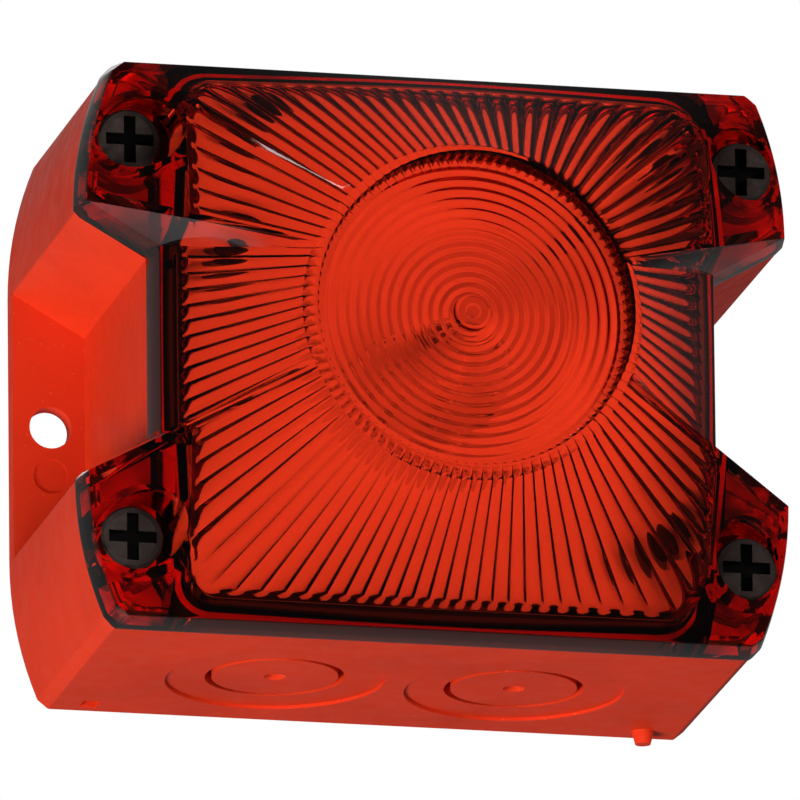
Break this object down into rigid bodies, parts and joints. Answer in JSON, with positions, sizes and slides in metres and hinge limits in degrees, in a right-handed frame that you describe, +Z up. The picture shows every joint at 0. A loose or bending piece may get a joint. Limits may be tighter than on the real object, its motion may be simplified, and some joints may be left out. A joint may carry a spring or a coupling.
{
  "type": "wall flashing beacon",
  "caption": "Wall-mounted flashing beacon for fire alarm systems: red housing with side fixing recesses, faceted red lens cover with a round ribbed crown and plastic cover screws.",
  "frame": {"origin": "centre of the housing's flat back, on the wall plane", "axes": "+Z up, +X right as seen from the front, -Y out of the wall towards the viewer"},
  "size_m": [0.1316, 0.095, 0.107],
  "materials": {
    "housing_red": "opaque signal-red ABS, satin moulded finish",
    "lens_red": "transparent red polycarbonate, polished, fluted inside",
    "seal_rubber": "closed-cell silicone rubber",
    "insert_brass": "turned brass, knurled",
    "washer_nylon": "natural nylon",
    "screw_grey": "dark grey glass-filled nylon",
    "reflector_white": "white polycarbonate",
    "post_black": "black nylon",
    "holder_white": "white steatite",
    "tube_glass": "clear borosilicate glass",
    "lead_wire": "tinned nickel wire",
    "board_green": "glass-epoxy laminate with green solder mask",
    "screw_steel": "zinc-plated steel",
    "can_black": "black sleeve and moulded epoxy",
    "film_case": "dipped epoxy",
    "core_ferrite": "grey ferrite",
    "winding_copper": "enamelled copper wire",
    "coil_tape": "yellow polyester tape",
    "sink_aluminium": "extruded aluminium",
    "resistor_beige": "lacquered resistor bodies",
    "fuse_glass": "clear glass tube with plated caps",
    "terminal_green": "green nylon",
    "switch_blue": "blue moulded switch case"
  },
  "bodies": {
    "base": {"rear_housing": "housing_red", "cover_gasket": "seal_rubber", "threaded_inserts": "insert_brass", "reflector": "reflector_white", "reflector_posts": "post_black", "lamp_stem": "post_black", "tube_holder": "holder_white", "flash_tube": "tube_glass", "tube_electrodes": "lead_wire", "trigger_wire": "lead_wire", "circuit_board": "board_green", "board_screws": "screw_steel", "storage_capacitor": "can_black", "film_capacitor": "film_case", "inverter_core": "core_ferrite", "inverter_winding": "winding_copper", "bobbin_base": "can_black", "trigger_coil": "coil_tape", "heat_sink": "sink_aluminium", "power_transistor": "can_black", "rectifier_diodes": "can_black", "resistors": "resistor_beige", "fuse": "fuse_glass", "fuse_clips": "screw_steel", "terminal_block": "terminal_green", "terminal_clamps": "insert_brass", "dip_switch": "switch_blue"},
    "cover": {"lens_cover": "lens_red", "screw_seals": "seal_rubber", "screw_retainers": "washer_nylon"},
    "screw_upper_left": {"cover_screw_upper_left": "screw_grey"},
    "screw_upper_right": {"cover_screw_upper_right": "screw_grey"},
    "screw_lower_left": {"cover_screw_lower_left": "screw_grey"},
    "screw_lower_right": {"cover_screw_lower_right": "screw_grey"},
    "clamp_screw_1": {"terminal_screw_1": "screw_steel"},
    "clamp_screw_2": {"terminal_screw_2": "screw_steel"},
    "clamp_screw_3": {"terminal_screw_3": "screw_steel"},
    "clamp_screw_4": {"terminal_screw_4": "screw_steel"},
    "switch_1": {"dip_slider_1": "reflector_white"},
    "switch_2": {"dip_slider_2": "reflector_white"},
    "switch_3": {"dip_slider_3": "reflector_white"},
    "switch_4": {"dip_slider_4": "reflector_white"}
  },
  "joints": [
    {"name": "cover_lift", "type": "slide", "parent": "base", "child": "cover", "axis": [0, -1, 0], "range_m": [0, 0.07]},
    {"name": "turn_upper_left", "type": "hinge", "parent": "cover", "child": "screw_upper_left", "pos_m": [-0.0567, -0.062, 0.0372], "axis": [0, -1, 0], "continuous": true},
    {"name": "turn_upper_right", "type": "hinge", "parent": "cover", "child": "screw_upper_right", "pos_m": [0.0567, -0.062, 0.0372], "axis": [0, -1, 0], "continuous": true},
    {"name": "turn_lower_left", "type": "hinge", "parent": "cover", "child": "screw_lower_left", "pos_m": [-0.0567, -0.062, -0.0372], "axis": [0, -1, 0], "continuous": true},
    {"name": "turn_lower_right", "type": "hinge", "parent": "cover", "child": "screw_lower_right", "pos_m": [0.0567, -0.062, -0.0372], "axis": [0, -1, 0], "continuous": true},
    {"name": "clamp_turn_1", "type": "hinge", "parent": "base", "child": "clamp_screw_1", "pos_m": [-0.012, -0.026, -0.014], "axis": [0, -1, 0], "continuous": true},
    {"name": "clamp_turn_2", "type": "hinge", "parent": "base", "child": "clamp_screw_2", "pos_m": [-0.004, -0.026, -0.014], "axis": [0, -1, 0], "continuous": true},
    {"name": "clamp_turn_3", "type": "hinge", "parent": "base", "child": "clamp_screw_3", "pos_m": [0.004, -0.026, -0.014], "axis": [0, -1, 0], "continuous": true},
    {"name": "clamp_turn_4", "type": "hinge", "parent": "base", "child": "clamp_screw_4", "pos_m": [0.012, -0.026, -0.014], "axis": [0, -1, 0], "continuous": true},
    {"name": "switch_slide_1", "type": "slide", "parent": "base", "child": "switch_1", "axis": [0, 0, 1], "range_m": [0, 0.0019]},
    {"name": "switch_slide_2", "type": "slide", "parent": "base", "child": "switch_2", "axis": [0, 0, 1], "range_m": [0, 0.0019]},
    {"name": "switch_slide_3", "type": "slide", "parent": "base", "child": "switch_3", "axis": [0, 0, 1], "range_m": [0, 0.0019]},
    {"name": "switch_slide_4", "type": "slide", "parent": "base", "child": "switch_4", "axis": [0, 0, 1], "range_m": [0, 0.0019]}
  ]
}
